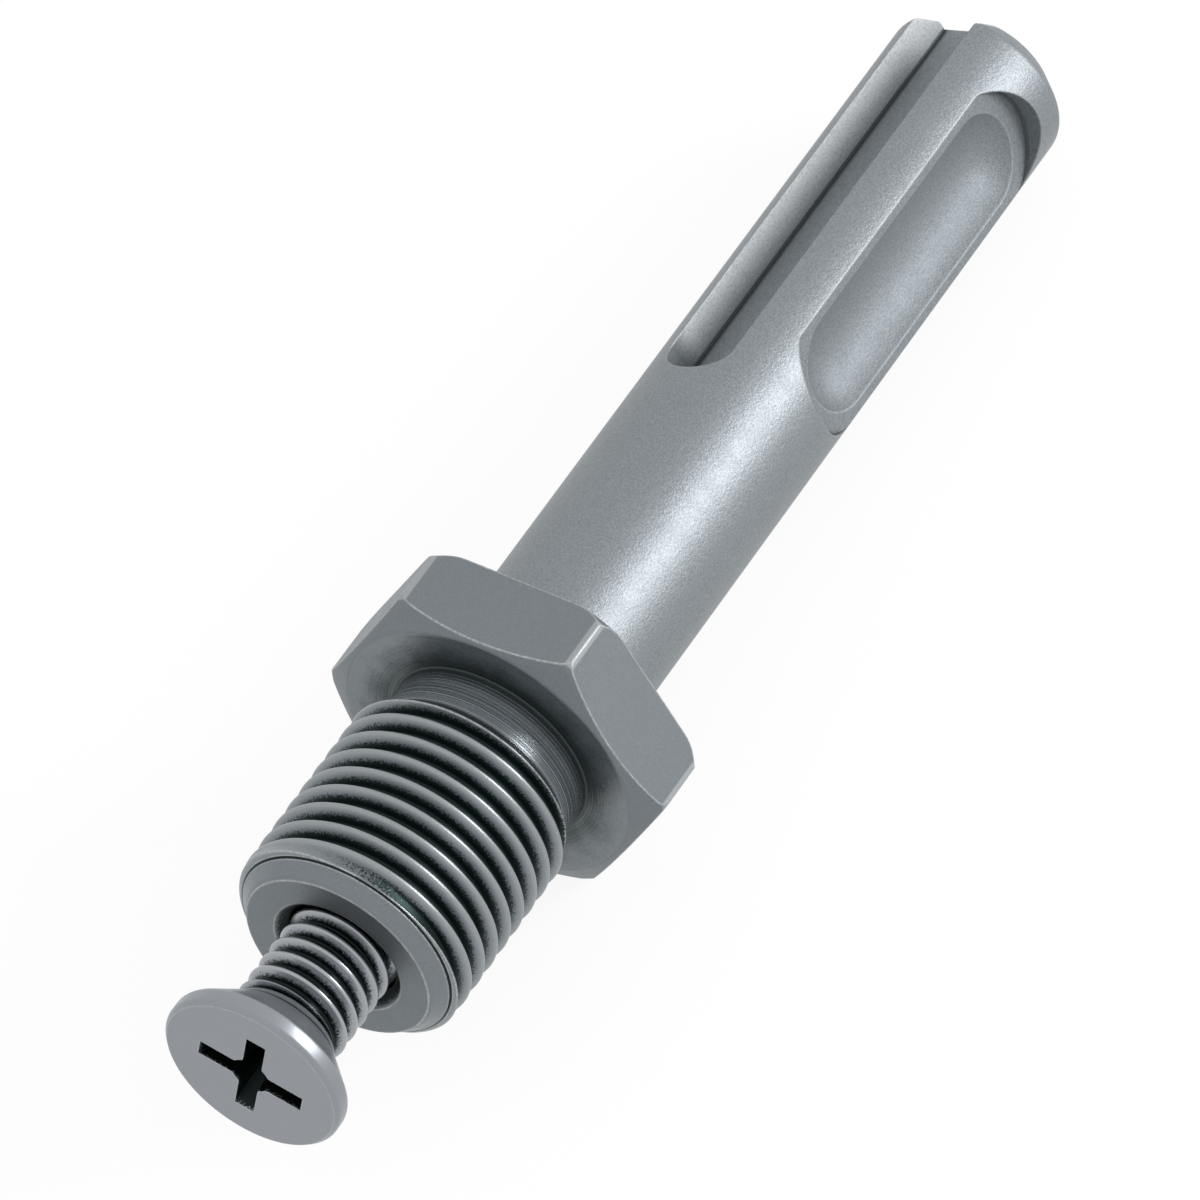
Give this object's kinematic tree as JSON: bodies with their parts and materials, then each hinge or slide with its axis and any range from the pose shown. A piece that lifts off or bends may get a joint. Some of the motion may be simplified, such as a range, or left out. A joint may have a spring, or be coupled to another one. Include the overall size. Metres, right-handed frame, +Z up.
{
  "type": "hammer drill chuck adapter",
  "caption": "Steel adapter with a slotted hammer drill shank, a hexagonal collar and a threaded stud for a drill chuck, with its left-hand cross recess retaining screw backed out.",
  "frame": {"origin": "bottom centre of the whole object's box as it lies at rest, on the surface that it lies on", "axes": "+X along the length towards the end of the shank, +Z up; the axis of the piece drops 4.27 degrees towards the end of the shank"},
  "size_m": [0.075, 0.0194, 0.0171],
  "materials": {
    "adapter_steel": "satin grey plated steel, bead blasted",
    "screw_steel": "satin grey plated steel, smoother than the body"
  },
  "bodies": {
    "adapter": {"adapter_body": "adapter_steel"},
    "screw": {"retaining_screw": "screw_steel"}
  },
  "joints": [
    {"name": "screw_travel", "type": "slide", "parent": "adapter", "child": "screw", "axis": [-0.9972, 0, 0.0744], "range_m": [-0.0058, 0.013]}
  ]
}
